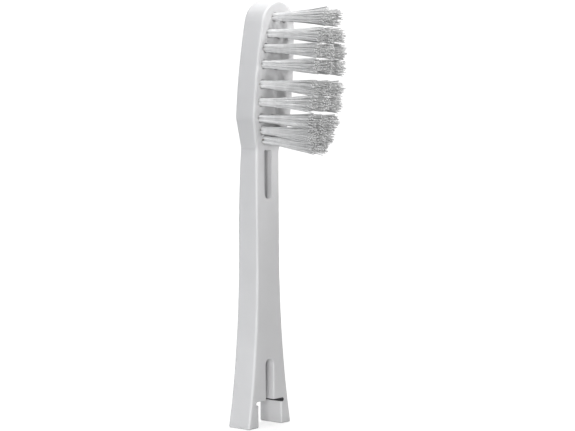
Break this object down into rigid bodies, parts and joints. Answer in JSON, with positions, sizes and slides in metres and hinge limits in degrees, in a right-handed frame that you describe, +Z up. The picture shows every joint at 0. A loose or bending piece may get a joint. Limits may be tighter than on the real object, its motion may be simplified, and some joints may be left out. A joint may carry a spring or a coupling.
{
  "type": "electric toothbrush head",
  "caption": "Push-on electric toothbrush head: slim moulded neck with a shaft bore, flared forked base and a leaning, round-topped plate set with rows of trimmed bristle tufts.",
  "frame": {"origin": "on the axis of the shaft bore, in the plane of the feet", "axes": "+Z up the neck from the feet to the head, -Y the way the bristles point, X across the head"},
  "size_m": [0.0112, 0.0179, 0.0721],
  "materials": {
    "body_plastic": "satin",
    "bristle_nylon": "satin",
    "anchor_wire": "drawn"
  },
  "bodies": {
    "root": {"brush_body": "body_plastic", "tuft_anchors": "anchor_wire", "tuft_01": "bristle_nylon", "tuft_02": "bristle_nylon", "tuft_03": "bristle_nylon", "tuft_04": "bristle_nylon", "tuft_05": "bristle_nylon", "tuft_06": "bristle_nylon", "tuft_07": "bristle_nylon", "tuft_08": "bristle_nylon", "tuft_09": "bristle_nylon", "tuft_10": "bristle_nylon", "tuft_11": "bristle_nylon", "tuft_12": "bristle_nylon", "tuft_13": "bristle_nylon", "tuft_14": "bristle_nylon", "tuft_15": "bristle_nylon", "tuft_16": "bristle_nylon", "tuft_17": "bristle_nylon", "tuft_18": "bristle_nylon", "tuft_19": "bristle_nylon", "tuft_20": "bristle_nylon", "tuft_21": "bristle_nylon", "tuft_22": "bristle_nylon", "tuft_23": "bristle_nylon", "tuft_24": "bristle_nylon", "tuft_25": "bristle_nylon"}
  },
  "joints": []
}
